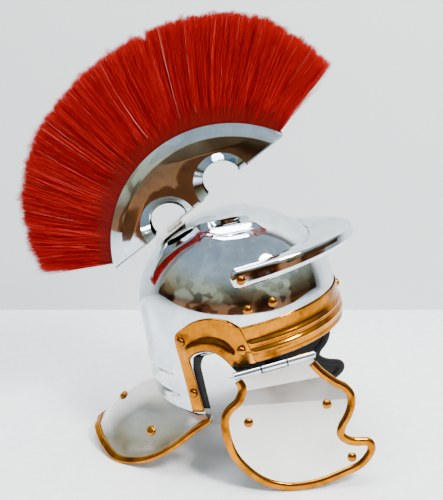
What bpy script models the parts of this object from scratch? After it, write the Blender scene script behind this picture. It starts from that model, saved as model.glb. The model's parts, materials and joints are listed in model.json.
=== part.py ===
# Roman legionary helmet: steel bowl with brass trim, hinged cheek guards and a red crest.
# Units are metres. Each piece is modelled on the level helmet (+X to the face, +Z up) and
# rides on the empty helmet_pose, which leans the helmet back onto its neck guard.

import math

import bmesh
import bpy
import numpy as np
from mathutils import Vector

# Bowl: the upper half is an ellipsoid about the origin, the lower half falls to the rim
bowl_half_length = 0.116
bowl_half_width = 0.098
bowl_rise = 0.102
bowl_wall = 0.0015
front_rim_drop = 0.047
nape_drop = 0.084
ear_side_drop = 0.106
nape_flare = 0.0055
nape_start_angle = math.radians(117)
rib_height = 0.0022
rib_width = 0.0075
rib_drops = (0.044, 0.065)
rib_half_sweep = math.radians(50)
brow_ridge_height = 0.0020
brow_ridge_width = 0.0060

# Neck guard and its edging
neck_plate = 0.0016
neck_reach = 0.0865
neck_half_width = 0.101
neck_droop = 0.0435
neck_swell = 0.0065

# Brow band
band_top = 0.0075
band_height = 0.042
band_wall = 0.0012
ridge_height = 0.0024

# Visor
visor_plate = 0.0015
visor_root_share = 0.62
visor_reach = 0.147
visor_half_width = 0.096
visor_level = 0.053
visor_strip_side = 0.019
visor_strip_front = 0.012
visor_outline_power = 1.8
visor_end = 0.0035
visor_rivet_share = 0.928

# Ear guards
ear_wall = 0.0012
ear_collar_height = 0.0035

# Cheek guards and hinges
cheek_plate = 0.0016
cheek_length = 0.157
cheek_drop = 0.1437
hinge_length = 0.091
hinge_radius = 0.004
hinge_pin_radius = 0.0016
hinge_mid_x = 0.0265
hinge_side = 0.098
hinge_below_band = 0.0085
hinge_toe_in = math.radians(8)
cheek_splay = math.radians(9)
leaf_height = 0.022
leaf_half_length = 0.009
leaf_inset = 0.0056
leaf_plate = 0.0012

# Edging of sheet edges: a folded brass channel
edging_width = 0.0075
edging_wall = 0.0014
edging_gap = 0.0009
edging_mouth_closing = 0.0005

# Rivets
rivet_radius = 0.0047
rivet_height = 0.0030
boss_radius = 0.0052

# Crest box, in its own frame: u along the chord from the rear end, v outward
crest_chord = 0.248
crest_rise = 0.0766
crest_half_thickness = 0.020
crest_top_half_thickness = 0.0130
crest_shoulder = 0.0135
crest_wall = 0.0015
crest_slot_half_width = 0.0115
crest_rear_x = -0.1303
crest_rear_z = 0.0631
crest_tilt = math.radians(25.5)
cutout_radius = 0.033
cutout_flange = 0.010
cutout_flange_depth = 0.009
rear_cutout_u = 0.085
front_cutout_u = 0.1625
cutout_v = 0.002

# Crest bracket on the upper rear of the bowl
bracket_plate = 0.0022
bracket_base_length = 0.040
bracket_base_half_width = 0.016
bracket_stack_length = 0.021
bracket_stack_half_width = 0.011
bracket_set_back = 0.0278
bracket_tongue_lap = 0.003

# Plume
plume_reach = 0.112
plume_half_thickness = 0.019
lock_count = 26
lock_depth = 0.004

# Clearances
seat_gap = 0.0003
pin_clearance = 0.0003

# Resolution of the faceted solids
around_steps = 44
dome_rows = 8


def clear_scene():
    for obj in list(bpy.data.objects):
        bpy.data.objects.remove(obj, do_unlink=True)


def make_material(name, colour, metallic, roughness):
    material = bpy.data.materials.new(name)
    material.use_nodes = True
    shader = material.node_tree.nodes["Principled BSDF"]
    shader.inputs["Base Color"].default_value = (*colour, 1.0)
    shader.inputs["Metallic"].default_value = metallic
    shader.inputs["Roughness"].default_value = roughness
    return material


def add_empty(name, location=(0, 0, 0), rotation=(0, 0, 0), parent=None):
    empty = bpy.data.objects.new(name, None)
    empty.location = location
    empty.rotation_euler = rotation
    empty.parent = parent
    empty.empty_display_size = 0.02
    parts.objects.link(empty)
    return empty


def add_mesh(name, points, faces, material, parent, collection=None):
    mesh = bpy.data.meshes.new(name)
    mesh.from_pydata([tuple(point) for point in points], [], faces)
    shape = bmesh.new()
    shape.from_mesh(mesh)
    bmesh.ops.recalc_face_normals(shape, faces=shape.faces)
    shape.to_mesh(mesh)
    shape.free()
    mesh.shade_smooth()
    mesh.set_sharp_from_angle(angle=math.radians(35))
    obj = bpy.data.objects.new(name, mesh)
    if material is not None:
        mesh.materials.append(material)
    obj.parent = parent
    (collection or parts).objects.link(obj)
    return obj


def grid_faces(rows, columns, closed=False):
    last = columns if closed else columns - 1
    return [
        (r * columns + c, r * columns + (c + 1) % columns,
         (r + 1) * columns + (c + 1) % columns, (r + 1) * columns + c)
        for r in range(rows - 1)
        for c in range(last)
    ]


def add_sweep(name, sections, material, parent, collection=None):
    """A solid through closed sections of equal count, capped at both ends."""
    rows, columns = len(sections), len(sections[0])
    points = [point for section in sections for point in section]
    faces = grid_faces(rows, columns, closed=True)
    faces.append(tuple(range(columns)))
    faces.append(tuple(range((rows - 1) * columns, rows * columns)))
    return add_mesh(name, points, faces, material, parent, collection)


def add_box(name, low, high, material, parent, collection=None):
    points = [(x, y, z) for x in (low[0], high[0]) for y in (low[1], high[1]) for z in (low[2], high[2])]
    faces = [(0, 1, 3, 2), (4, 6, 7, 5), (0, 4, 5, 1), (2, 3, 7, 6), (0, 2, 6, 4), (1, 5, 7, 3)]
    return add_mesh(name, points, faces, material, parent, collection)


def make_guide(obj):
    obj.hide_render = True
    obj.display_type = "WIRE"
    return obj


def add_boolean(obj, other, operation, solver="EXACT"):
    step = obj.modifiers.new(other.name, "BOOLEAN")
    step.operation = operation
    step.solver = solver
    step.object = other


def smooth_step(value):
    value = min(max(value, 0.0), 1.0)
    return value * value * (3 - 2 * value)


def smooth_path(points, steps):
    """Catmull-Rom curve through the points, with a number of steps from each to the next."""
    padded = [2 * points[0] - points[1], *points, 2 * points[-1] - points[-2]]
    path = []
    for before, start, end, after in zip(padded, padded[1:], padded[2:], padded[3:]):
        for step in range(steps):
            t = step / steps
            path.append(
                0.5 * (2 * start + (end - before) * t
                       + (2 * before - 5 * start + 4 * end - after) * t ** 2
                       + (3 * start - before - 3 * end + after) * t ** 3)
            )
    path.append(points[-1])
    return path


# Bowl surface. The angle around is 0 at the front and grows towards either side's ear.
def rim_drop(around):
    """Depth of the bowl's lower edge below the origin."""
    back = (math.pi - abs(around)) / (math.pi - nape_start_angle)
    if back <= 1.0:
        return nape_drop + (ear_side_drop - nape_drop) * back
    blend = smooth_step((back - 1.0) / 0.18)
    return ear_side_drop + (front_rim_drop - ear_side_drop) * blend


def bowl_section(height):
    """Half length to the front, half length to the back and half width at a height."""
    if height > 0:
        share = math.sqrt(max(1 - (height / bowl_rise) ** 2, 0.0))
        return bowl_half_length * share, bowl_half_length * share, bowl_half_width * share
    flare = nape_flare * -height / nape_drop
    return bowl_half_length, bowl_half_length + flare, bowl_half_width


def bowl_point(around, height, side=-1, lift=0.0):
    front, back, wide = bowl_section(height)
    long = front if abs(around) < math.pi / 2 else back
    point = Vector((long * math.cos(around), side * wide * math.sin(around), height))
    return point + bowl_normal(around, height, side) * lift


def bowl_normal(around, height, side=-1):
    rise = height / bowl_rise ** 2 if height > 0 else 0.0
    front, back, wide = bowl_section(height)
    long = front if abs(around) < math.pi / 2 else back
    x, y = long * math.cos(around), wide * math.sin(around)
    return Vector((x / bowl_half_length ** 2, side * y / bowl_half_width ** 2, rise)).normalized()


# Embossed brow ridges on the crown: each a line from the bracket forward, both sides alike
brow_ridges = (
    {"start": (-0.030, 0.030), "middle": (0.005, 0.034), "end": (0.040, 0.028)},
    {"start": (-0.028, 0.040), "middle": (0.008, 0.046), "end": (0.047, 0.038)},
    {"start": (-0.024, 0.049), "middle": (0.006, 0.060), "end": (0.038, 0.057)},
)


def ridge_lift(x, y):
    lift = 0.0
    for ridge in brow_ridges:
        path = smooth_path([Vector(ridge[key]) for key in ("start", "middle", "end")], 6)
        nearest = min((Vector((x, abs(y))) - point).length for point in path)
        lift = max(lift, brow_ridge_height * math.exp(-((nearest / brow_ridge_width) ** 2)))
    return lift


def rib_lift(around, height):
    sweep = smooth_step((rib_half_sweep - (math.pi - abs(around))) / math.radians(8))
    drop = -height * nape_drop / rim_drop(math.pi) if height < 0 else 0.0
    return sum(
        rib_height * sweep * math.exp(-(((drop - rib) / (rib_width / 2)) ** 2)) for rib in rib_drops
    )


# Ear opening: straight edges with a sharp corner at the back and a sloping top
ear_opening = (
    {"back": 0.497, "down": 0.370}, {"back": 0.270, "down": 0.313}, {"back": 0.157, "down": 0.443},
    {"back": 0.157, "down": 1.400}, {"back": 0.461, "down": 1.400},
)


def add_bowl():
    rows = []
    for row in range(1, dome_rows + 1):
        height = bowl_rise * math.cos(math.pi / 2 * row / dome_rows)
        rows.append([(around, height) for around in around_angles()])
    rib_shares = [share for rib in rib_drops for share in (rib - rib_width / 2, rib, rib + rib_width / 2)]
    for share in (0.5 * rib_shares[0], *rib_shares, nape_drop):
        rows.append([(around, -rim_drop(around) * share / nape_drop) for around in around_angles()])
    grid = []
    for row in rows:
        line = []
        for around, height in row:
            base = bowl_point(abs(around), height, -1 if around < 0 else 1)
            back_height = height * nape_drop / rim_drop(around)
            lift = ridge_lift(base.x, base.y) if height > 0.5 * bowl_rise else rib_lift(around, back_height)
            line.append(base + bowl_normal(abs(around), height, -1 if around < 0 else 1) * lift)
        grid.append(line)
    points = [Vector((0, 0, bowl_rise))] + [point for line in grid for point in line]
    columns = around_steps
    faces = [(0, 1 + c, 1 + (c + 1) % columns) for c in range(columns)]
    faces += [tuple(1 + index for index in face) for face in grid_faces(len(grid), columns, closed=True)]
    bowl = add_mesh("bowl", points, faces, steel, pose)
    solid = bowl.modifiers.new("thickness", "SOLIDIFY")
    solid.thickness = bowl_wall
    solid.offset = -1.0
    reach = 2 * bowl_half_width
    outline = [
        Vector((-bowl_half_length * row["back"], 0, -ear_side_drop * row["down"])) for row in ear_opening
    ]
    sections = [[point + Vector((0, side * reach, 0)) for point in outline] for side in (-1, 1)]
    add_boolean(bowl, make_guide(add_sweep("ear_cutter", sections, None, pose, cutters)), "DIFFERENCE")


def around_angles():
    return [math.pi * (2 * c / around_steps - 1) for c in range(around_steps)]


# Neck guard: its edge as shares of reach, half width and droop, from the rear centre to a corner
neck_edge = (
    {"back": 1.00, "out": 0.00, "down": 0.99},
    {"back": 0.995, "out": 0.15, "down": 0.93},
    {"back": 0.89, "out": 0.40, "down": 1.01},
    {"back": 0.70, "out": 0.615, "down": 1.18},
    {"back": 0.405, "out": 0.75, "down": 1.16},
    {"back": 0.095, "out": 0.86, "down": 0.95},
    {"back": -0.23, "out": 0.95, "down": 0.58},
    {"back": -0.54, "out": 1.00, "down": 0.17},
    {"back": -0.755, "out": 0.98, "down": 0.00},
)
neck_bosses = (
    {"station": 0.0, "share": 0.50}, {"station": -0.47, "share": 0.50}, {"station": 0.47, "share": 0.50},
)


def neck_lines():
    """Seam under the bowl and outer edge, corner to corner, as matching lists of points."""
    rear = bowl_half_length + nape_flare
    half = [
        Vector((
            -(rear + neck_reach * row["back"]),
            neck_half_width * row["out"],
            -(nape_drop + neck_droop * row["down"] + (ear_side_drop - nape_drop) * row["out"]),
        ))
        for row in neck_edge
    ]
    edge_half = smooth_path(half, 2)
    count = len(edge_half)
    seam_half = []
    for step in range(count):
        around = math.pi - (math.pi - nape_start_angle) * step / (count - 1)
        under = bowl_point(around, -rim_drop(around), 1, lift=-2 * bowl_wall)
        seam_half.append(under - Vector((0, 0, seat_gap)))
    flip = Vector((1, -1, 1))
    seam = [point * flip for point in reversed(seam_half[1:])] + seam_half
    edge = [point * flip for point in reversed(edge_half[1:])] + edge_half
    return seam, edge


def path_normals(path, outward):
    """Upward normals of the strip that runs from a path along its outward directions."""
    normals = []
    for index, out in enumerate(outward):
        along = path[min(index + 1, len(path) - 1)] - path[max(index - 1, 0)]
        normal = along.cross(out).normalized()
        normals.append(-normal if normal.z < 0 else normal)
    return normals


def add_neck_guard():
    """Flange below the nape. Each section runs straight from the seam to the edge."""
    seam, edge = neck_lines()
    outward = [(end - start).normalized() for start, end in zip(seam, edge)]
    normals = path_normals(edge, outward)
    sections = []
    for start, end, out, normal in zip(seam, edge, outward, normals):
        fold = end - out * (edging_width + seat_gap)
        swell = normal * neck_swell * (1 - abs(2 * len(sections) / (len(seam) - 1) - 1))
        top = [start, start.lerp(fold, 0.35) + swell, start.lerp(fold, 0.7) + swell, fold, end]
        sections.append(top + [point - normal * neck_plate for point in reversed(top)])
    add_sweep("neck_guard", sections, steel, pose)
    middle = [point - normal * 0.5 * neck_plate for point, normal in zip(edge, normals)]
    add_edging("neck_guard_piping", middle, outward, normals, neck_plate, pose)
    centre = len(edge) // 2
    for boss, label in zip(neck_bosses, ("rear", "right", "left")):
        index = round(centre * (1 + boss["station"]))
        swell = neck_swell * (1 - abs(boss["station"]))
        seat = seam[index].lerp(edge[index], boss["share"]) + normals[index] * (swell + 2 * seat_gap)
        add_rivet("neck_guard_rivet_" + label, seat, normals[index], brass, pose, boss_radius)


def add_edging(name, path, outward, normals, plate, parent, mouth_closing=0.0):
    """A folded brass channel over the edge of a plate, about the plate's middle; its mouth may close towards the plate."""
    half = 0.5 * plate + edging_gap
    mouth = half - mouth_closing
    outer = half + edging_wall
    nose = edging_wall + seat_gap
    profile = [
        (-edging_width, mouth), (-edging_width, half + 0.7 * edging_wall), (-0.2 * edging_width, outer),
        (nose, 0.0),
        (-0.2 * edging_width, -outer), (-edging_width, -half - 0.7 * edging_wall), (-edging_width, -mouth),
        (seat_gap, -half), (seat_gap, half),
    ]
    sections = [
        [point + out * o + normal * n for o, n in profile]
        for point, out, normal in zip(path, outward, normals)
    ]
    add_sweep(name, sections, brass, parent)


def add_brow_band():
    """Brass band round the front: flat top, two ridges, flat bottom."""
    profile = (
        {"down": 0.00, "lift": 0.0}, {"down": 0.36, "lift": 0.0}, {"down": 0.44, "lift": 0.8},
        {"down": 0.52, "lift": 0.8}, {"down": 0.58, "lift": 0.1}, {"down": 0.66, "lift": 1.0},
        {"down": 0.74, "lift": 1.0}, {"down": 0.81, "lift": 0.0}, {"down": 1.00, "lift": 0.2},
    )
    stations = 24
    rows = []
    for row in profile:
        height = -(band_top + band_height * row["down"])
        lift = seat_gap + band_wall + ridge_height * row["lift"]
        line = []
        for step in range(stations + 1):
            end = math.radians(88.5) - math.radians(5.5) * row["down"]
            around = end * (1 - 2 * step / stations)
            line.append(bowl_point(abs(around), height, 1 if around < 0 else -1, lift))
        rows.append(line)
    add_outward_sheet("brow_band", rows, band_wall, brass)


def add_outward_sheet(name, rows, thickness, material):
    """A sheet whose points lie on its outer face; it thickens towards the bowl."""
    columns = len(rows[0])
    points = [point for row in rows for point in row]
    sheet = add_mesh(name, points, grid_faces(len(rows), columns), material, pose)
    solid = sheet.modifiers.new("thickness", "SOLIDIFY")
    solid.thickness = thickness
    solid.offset = -1.0
    solid.use_even_offset = True
    face = sheet.data.polygons[len(sheet.data.polygons) // 2]
    if face.normal.dot(Vector(face.center) - Vector((0, 0, -bowl_rise))) < 0:
        sheet.data.flip_normals()


def visor_outline(share):
    """Crease of the visor from the near end (share -1) by the tip to the far end (share 1)."""
    turn = share * math.pi / 2
    power = 2 / visor_outline_power
    x = visor_reach * math.cos(turn) ** power
    y = visor_half_width * abs(math.sin(turn)) ** power
    return Vector((max(x, visor_end), math.copysign(y, share), visor_level))


def add_visor():
    """Crescent plate with a down-turned strip along its outer edge."""
    stations = 28
    rows = [[], [], [], []]
    for step in range(stations + 1):
        share = 2 * step / stations - 1
        crease = visor_outline(0.985 * share)
        around = math.atan2(abs(crease.y) / bowl_half_width, crease.x / bowl_half_length)
        side = 1 if share > 0 else -1
        root = bowl_point(around, visor_level, side, lift=seat_gap + visor_root_share * visor_plate)
        strip = visor_strip_front + (visor_strip_side - visor_strip_front) * share ** 2
        foot = crease + Vector((0, 0, -strip))
        limit = bowl_point(around, foot.z, side, lift=seat_gap + visor_plate)
        if Vector((limit.x, limit.y)).length > Vector((foot.x, foot.y)).length:
            foot = limit
        rows[0].append(root)
        rows[1].append(root.lerp(crease, 0.5))
        rows[2].append(crease)
        rows[3].append(foot)
    add_outward_sheet("visor", rows, visor_plate, steel)


def add_trim_rivets():
    """A rivet in each end tab of the visor's strip, and one at the front of the brow band."""
    for side, label in ((-1, "right"), (1, "left")):
        crease = visor_outline(side * visor_rivet_share)
        along = visor_outline(side * (visor_rivet_share + 0.02)) - visor_outline(side * (visor_rivet_share - 0.02))
        normal = Vector((-along.y, along.x, 0)).normalized()
        normal = -normal if normal.y * side < 0 else normal
        seat = crease + Vector((0, 0, -0.52 * visor_strip_side)) + normal * 2 * seat_gap
        add_rivet("visor_rivet_" + label, seat, normal, brass, pose)
    height = -(band_top + 0.2 * band_height)
    seat = bowl_point(0.0, height, lift=band_wall + 3 * seat_gap)
    add_rivet("brow_rivet", seat, bowl_normal(0.0, height), brass, pose)


# Ear guard: outer and inner outlines as angle around in degrees and height as share of the ear side drop
ear_rows = (
    {"outer_angle": 127.5, "outer_height": -0.955, "inner_angle": 120.3, "inner_height": -0.955, "collar": 0.0},
    {"outer_angle": 127.6, "outer_height": -0.72, "inner_angle": 120.9, "inner_height": -0.72, "collar": 0.0},
    {"outer_angle": 128.2, "outer_height": -0.42, "inner_angle": 121.8, "inner_height": -0.46, "collar": 0.0},
    {"outer_angle": 128.9, "outer_height": -0.18, "inner_angle": 122.0, "inner_height": -0.365, "collar": 0.4},
    {"outer_angle": 127.8, "outer_height": -0.07, "inner_angle": 119.8, "inner_height": -0.315, "collar": 1.0},
    {"outer_angle": 122.5, "outer_height": 0.00, "inner_angle": 117.0, "inner_height": -0.28, "collar": 1.0},
    {"outer_angle": 113.7, "outer_height": 0.072, "inner_angle": 112.0, "inner_height": -0.262, "collar": 1.0},
    {"outer_angle": 103.9, "outer_height": 0.085, "inner_angle": 107.5, "inner_height": -0.275, "collar": 1.0},
    {"outer_angle": 96.1, "outer_height": 0.033, "inner_angle": 104.0, "inner_height": -0.32, "collar": 1.0},
    {"outer_angle": 92.0, "outer_height": -0.03, "inner_angle": 101.0, "inner_height": -0.39, "collar": 1.0},
    {"outer_angle": 89.8, "outer_height": -0.075, "inner_angle": 98.8, "inner_height": -0.465, "collar": 0.8},
)


def add_ear_guard(name, side):
    """Brass arch laid over the bowl round the ear opening, with a raised collar inside."""
    across = (
        {"share": 0.0, "lift": 0.0}, {"share": 0.55, "lift": 0.0}, {"share": 0.68, "lift": 1.0},
        {"share": 0.88, "lift": 1.0}, {"share": 1.0, "lift": 0.15},
    )
    outer = smooth_path([Vector((r["outer_angle"], r["outer_height"], r["collar"])) for r in ear_rows], 2)
    inner = smooth_path([Vector((r["inner_angle"], r["inner_height"], r["collar"])) for r in ear_rows], 2)
    # The front leg runs down beside the brow band to the rim
    outer.append(Vector((85.6, -(front_rim_drop + 0.002) / ear_side_drop, 0.2)))
    inner.append(Vector((98.6, -(front_rim_drop + 0.002) / ear_side_drop, 0.2)))
    rows = []
    for row in across:
        line = []
        for start, end in zip(outer, inner):
            angle, height, collar = start.lerp(end, row["share"])
            over_band = smooth_step((98.0 - angle) / 4.0) * (band_wall + 0.1 * ridge_height + seat_gap)
            lift = seat_gap + ear_wall + over_band + ear_collar_height * row["lift"] * max(collar, 0.0)
            line.append(bowl_point(math.radians(angle), height * ear_side_drop, side, lift))
        rows.append(line)
    add_outward_sheet(name, rows, ear_wall, brass)


def add_rivet(name, centre, normal, material, parent, radius=rivet_radius):
    """Round head with a flat underside a hair above its sheet."""
    rings = ((1.0, 0.0), (0.92, 0.45), (0.62, 0.85))
    sides = 8
    turn = normal.to_track_quat("Z", "Y").to_matrix()
    sections = []
    for share, rise in rings:
        sections.append([
            centre + turn @ Vector((
                radius * share * math.cos(2 * math.pi * k / sides),
                radius * share * math.sin(2 * math.pi * k / sides),
                rivet_height * rise,
            ))
            for k in range(sides)
        ])
    points = [point for section in sections for point in section] + [centre + normal * rivet_height]
    faces = grid_faces(len(rings), sides, closed=True)
    faces.append(tuple(range(sides)))
    top = len(points) - 1
    base = (len(rings) - 1) * sides
    faces += [(base + k, base + (k + 1) % sides, top) for k in range(sides)]
    add_mesh(name, points, faces, material, parent)


# Rivets on the bowl: angle around in degrees, height, and what lies under the head
facet_depth = bowl_half_width * (1 - math.cos(math.pi / around_steps))
bowl_rivets = (
    {"name": "dome_rivet_rear", "angle": 83.7, "height": 0.0100, "under": -facet_depth},
    {"name": "dome_rivet_front", "angle": 69.5, "height": 0.0106, "under": -1.6 * facet_depth},
    {"name": "ear_rivet_top", "angle": 124.8, "height": -0.0150, "under": ear_wall + seat_gap},
    {"name": "ear_rivet_leg", "angle": 124.0, "height": -0.0774, "under": ear_wall + seat_gap},
    {"name": "ear_rivet_band", "angle": 91.8, "height": -0.0322,
     "under": ear_wall + band_wall + 0.1 * ridge_height + 2 * seat_gap},
)


def add_bowl_rivets():
    for side, label in ((-1, "right"), (1, "left")):
        for rivet in bowl_rivets:
            angle = math.radians(rivet["angle"])
            lift = rivet["under"] + 1.4 * seat_gap
            centre = bowl_point(angle, rivet["height"], side, lift)
            normal = bowl_normal(angle, rivet["height"], side)
            add_rivet(rivet["name"] + "_" + label, centre, normal, brass, pose)


def cheek_outline():
    """Edge of the cheek plate from the hinge's rear end round to its front end, in metres."""
    table = (
        (-0.282, 0.051), (-0.270, 0.104), (-0.313, 0.177), (-0.389, 0.224), (-0.439, 0.296), (-0.456, 0.431),
        (-0.437, 0.595), (-0.367, 0.749), (-0.273, 0.868), (-0.159, 0.944), (-0.052, 0.981), (0.113, 1.000),
        (0.287, 0.981), (0.424, 0.953), (0.518, 0.881), (0.544, 0.812), (0.517, 0.758), (0.434, 0.730),
        (0.382, 0.700), (0.355, 0.658), (0.375, 0.607), (0.436, 0.534), (0.476, 0.454), (0.487, 0.376),
        (0.454, 0.297), (0.389, 0.231), (0.317, 0.133), (0.278, 0.056),
    )
    return smooth_path([Vector((along * cheek_length, 0, -down * cheek_drop)) for along, down in table], 2)


def add_cylinder(name, radius, start, end, parent, material=None, collection=None, sides=12):
    """Round bar along local X."""
    sections = [
        [Vector((x, radius * math.cos(2 * math.pi * k / sides), radius * math.sin(2 * math.pi * k / sides)))
         for k in range(sides)]
        for x in (start, end)
    ]
    return add_sweep(name, sections, material, parent, collection)


cheek_rivets = (
    {"name": "rear", "along": -0.270, "down": 0.371},
    {"name": "front", "along": 0.289, "down": 0.400},
    {"name": "chin", "along": 0.371, "down": 0.858},
)


def add_cheek(label, side):
    """Hinge and cheek guard of one side. Local X runs forward along the hinge, outward is side * Y."""
    hinge_z = -(band_top + band_height + hinge_below_band)
    axis = add_empty(
        "hinge_axis_" + label, (hinge_mid_x, side * hinge_side, hinge_z),
        (0, 0, -side * hinge_toe_in), pose,
    )
    swing = add_empty("cheek_swing_" + label, (0, 0, 0), (side * cheek_splay, 0, 0), axis)
    edge = cheek_outline()
    half = 0.5 * cheek_plate
    outline = [Vector((-0.47 * hinge_length, 0, 0)), *edge, Vector((0.47 * hinge_length, 0, 0))]
    sections = [[point + Vector((0, y, 0)) for point in outline] for y in (-half, half)]
    plate = add_sweep("cheek_guard_" + label, sections, steel, swing)
    third = hinge_length / 3
    for index, (start, end) in enumerate(((-1.5, -0.5), (0.5, 1.5))):
        knuckle = add_cylinder(
            "knuckle_%s_%d" % (label, index), hinge_radius, start * third, end * third, swing, None, cutters
        )
        add_boolean(plate, make_guide(knuckle), "UNION")
    notch = add_cylinder(
        "notch_" + label, hinge_radius + 2 * seat_gap, -0.5 * third - seat_gap, 0.5 * third + seat_gap,
        swing, None, cutters,
    )
    add_boolean(plate, make_guide(notch), "DIFFERENCE")
    bore = add_cylinder(
        "bore_" + label, hinge_pin_radius + pin_clearance, -hinge_length, hinge_length, axis, None, cutters
    )
    add_boolean(plate, make_guide(bore), "DIFFERENCE")
    outward = []
    for index, point in enumerate(edge):
        along = edge[min(index + 1, len(edge) - 1)] - edge[max(index - 1, 0)]
        outward.append(Vector((along.z, 0, -along.x)).normalized())
    middle = Vector((0, 0, -0.5 * cheek_drop))
    if outward[2].dot(edge[2] - middle) < 0:
        outward = [-direction for direction in outward]
    across = [Vector((0, side, 0))] * len(edge)
    add_edging("cheek_piping_" + label, edge, outward, across, cheek_plate, swing, mouth_closing=edging_mouth_closing)
    for rivet in cheek_rivets:
        centre = Vector((
            rivet["along"] * cheek_length, side * (half + seat_gap), -rivet["down"] * cheek_drop
        ))
        name = "cheek_rivet_%s_%s" % (rivet["name"], label)
        add_rivet(name, centre, Vector((0, side, 0)), brass, swing)
    # Upper leaf: the middle knuckle and a plate that rises inside the bowl
    leaf = add_cylinder("hinge_leaf_" + label, hinge_radius, -0.5 * third + seat_gap, 0.5 * third - seat_gap, axis)
    leaf.data.materials.append(steel)
    arm_outline = [
        (-0.2 * hinge_radius, -0.8 * hinge_radius), (-leaf_inset, -0.8 * hinge_radius),
        (-leaf_inset - leaf_plate, leaf_plate - 0.8 * hinge_radius), (-leaf_inset - leaf_plate, leaf_height),
        (-leaf_inset, leaf_height), (-leaf_inset, leaf_plate - 0.8 * hinge_radius),
        (-0.2 * hinge_radius, leaf_plate - 0.8 * hinge_radius),
    ]
    sections = [[Vector((x, side * y, z)) for y, z in arm_outline] for x in (-leaf_half_length, leaf_half_length)]
    arm = add_sweep("leaf_arm_" + label, sections, None, axis, cutters)
    add_boolean(leaf, make_guide(arm), "UNION")
    add_boolean(leaf, bore, "DIFFERENCE")
    pin = add_cylinder("hinge_pin_" + label, hinge_pin_radius, -0.55 * hinge_length, 0.515 * hinge_length, axis)
    pin.data.materials.append(steel)


def crest_radius():
    return (0.25 * crest_chord ** 2 + crest_rise ** 2) / (2 * crest_rise)


def crest_profile(inset, y, chord_inset=0.0):
    """D outline at a distance y from the middle: an arc inset from the crest's, closed by the chord."""
    radius = crest_radius() - inset
    centre = Vector((0.5 * crest_chord, 0, crest_rise - crest_radius()))
    low = math.asin((chord_inset - centre.z) / radius)
    steps = 20
    points = []
    for step in range(steps + 1):
        angle = low + (math.pi - 2 * low) * step / steps
        points.append(centre + Vector((radius * math.cos(angle), y, radius * math.sin(angle))))
    return points


def add_crest_box():
    """Sheet box of arc form, open along the arc for the plume, with two C cut-outs and their flanges."""
    shoulder = ((crest_shoulder, crest_half_thickness), (0.0, crest_top_half_thickness))
    stations = [(inset, -y) for inset, y in shoulder] + [(inset, y) for inset, y in reversed(shoulder)]
    box = add_sweep("crest_box", [crest_profile(inset, y) for inset, y in stations], steel, crest)
    wall = crest_wall
    face = crest_half_thickness - wall
    slot = crest_slot_half_width
    inner = [
        (crest_shoulder + wall, -face), (wall, -slot), (-wall, -slot), (-wall, slot), (wall, slot),
        (crest_shoulder + wall, face),
    ]
    hollow = add_sweep(
        "crest_hollow", [crest_profile(inset, y, wall) for inset, y in inner], None, crest, cutters
    )
    make_guide(hollow)
    waist = cutout_radius - cutout_flange
    depth = crest_half_thickness
    slope = cutout_flange / cutout_flange_depth
    for label, u in (("rear", rear_cutout_u), ("front", front_cutout_u)):
        for side in (-1, 1):
            rings = (
                (cutout_radius + wall * slope, depth + wall), (cutout_radius + wall, depth),
                (waist + wall, depth - cutout_flange_depth), (0.4 * waist, depth - cutout_flange_depth),
            )
            sleeve = add_turned("sleeve_%s_%d" % (label, side), u, [(r, side * y) for r, y in rings])
            add_boolean(hollow, sleeve, "DIFFERENCE", "MANIFOLD")
    add_boolean(box, hollow, "DIFFERENCE", "MANIFOLD")
    for label, u in (("rear", rear_cutout_u), ("front", front_cutout_u)):
        reach = depth + 2 * wall
        throat = depth - cutout_flange_depth - wall
        wide = waist + slope * (reach - depth + cutout_flange_depth)
        narrow = waist - slope * wall
        rings = ((wide, reach), (narrow, throat), (narrow, -throat), (wide, -reach))
        add_boolean(box, add_turned("cutout_" + label, u, rings), "DIFFERENCE", "MANIFOLD")


def add_turned(name, u, rings, sides=24):
    """Cutter turned about a line along Y through the centre of a cut-out."""
    centre = Vector((u, 0, cutout_v))
    sections = [
        [centre + Vector((r * math.cos(2 * math.pi * k / sides), y, r * math.sin(2 * math.pi * k / sides)))
         for k in range(sides)]
        for r, y in rings
    ]
    return make_guide(add_sweep(name, sections, None, crest, cutters))


def dome_height_under(u):
    """Distance v of the bowl's crown below the crest's chord, at u along it."""
    foot = Vector((crest_rear_x + u * math.cos(crest_tilt), crest_rear_z + u * math.sin(crest_tilt)))
    down = Vector((math.sin(crest_tilt), -math.cos(crest_tilt)))
    low, high = 0.0, 0.04
    for _ in range(40):
        middle = 0.5 * (low + high)
        point = foot + down * middle
        outside = (point.x / bowl_half_length) ** 2 + (point.y / bowl_rise) ** 2 > 1
        low, high = (middle, high) if outside else (low, middle)
    return low


def add_bracket():
    """Plates stacked on the bowl; the tongue carries the crest's middle foot."""
    start = rear_cutout_u - bracket_set_back
    floor = -min(dome_height_under(start + share * bracket_base_length) for share in np.linspace(0, 1, 21))
    low = floor + 1.3 * seat_gap
    top = -seat_gap
    base = add_box(
        "crest_bracket", (start, -bracket_base_half_width, low),
        (start + bracket_base_length, bracket_base_half_width, low + bracket_plate), steel, crest,
    )
    stack_end = start + bracket_base_length
    stack = add_box(
        "bracket_stack", (stack_end - bracket_stack_length, -bracket_stack_half_width, low + 0.5 * bracket_plate),
        (stack_end, bracket_stack_half_width, top), None, crest, cutters,
    )
    foot_end = front_cutout_u - cutout_radius + bracket_tongue_lap
    tongue = add_box(
        "bracket_tongue", (stack_end - 0.5 * bracket_stack_length, -0.7 * bracket_stack_half_width, top - bracket_plate),
        (foot_end, 0.7 * bracket_stack_half_width, top), None, crest, cutters,
    )
    add_boolean(base, make_guide(stack), "UNION")
    add_boolean(base, make_guide(tongue), "UNION")


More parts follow.
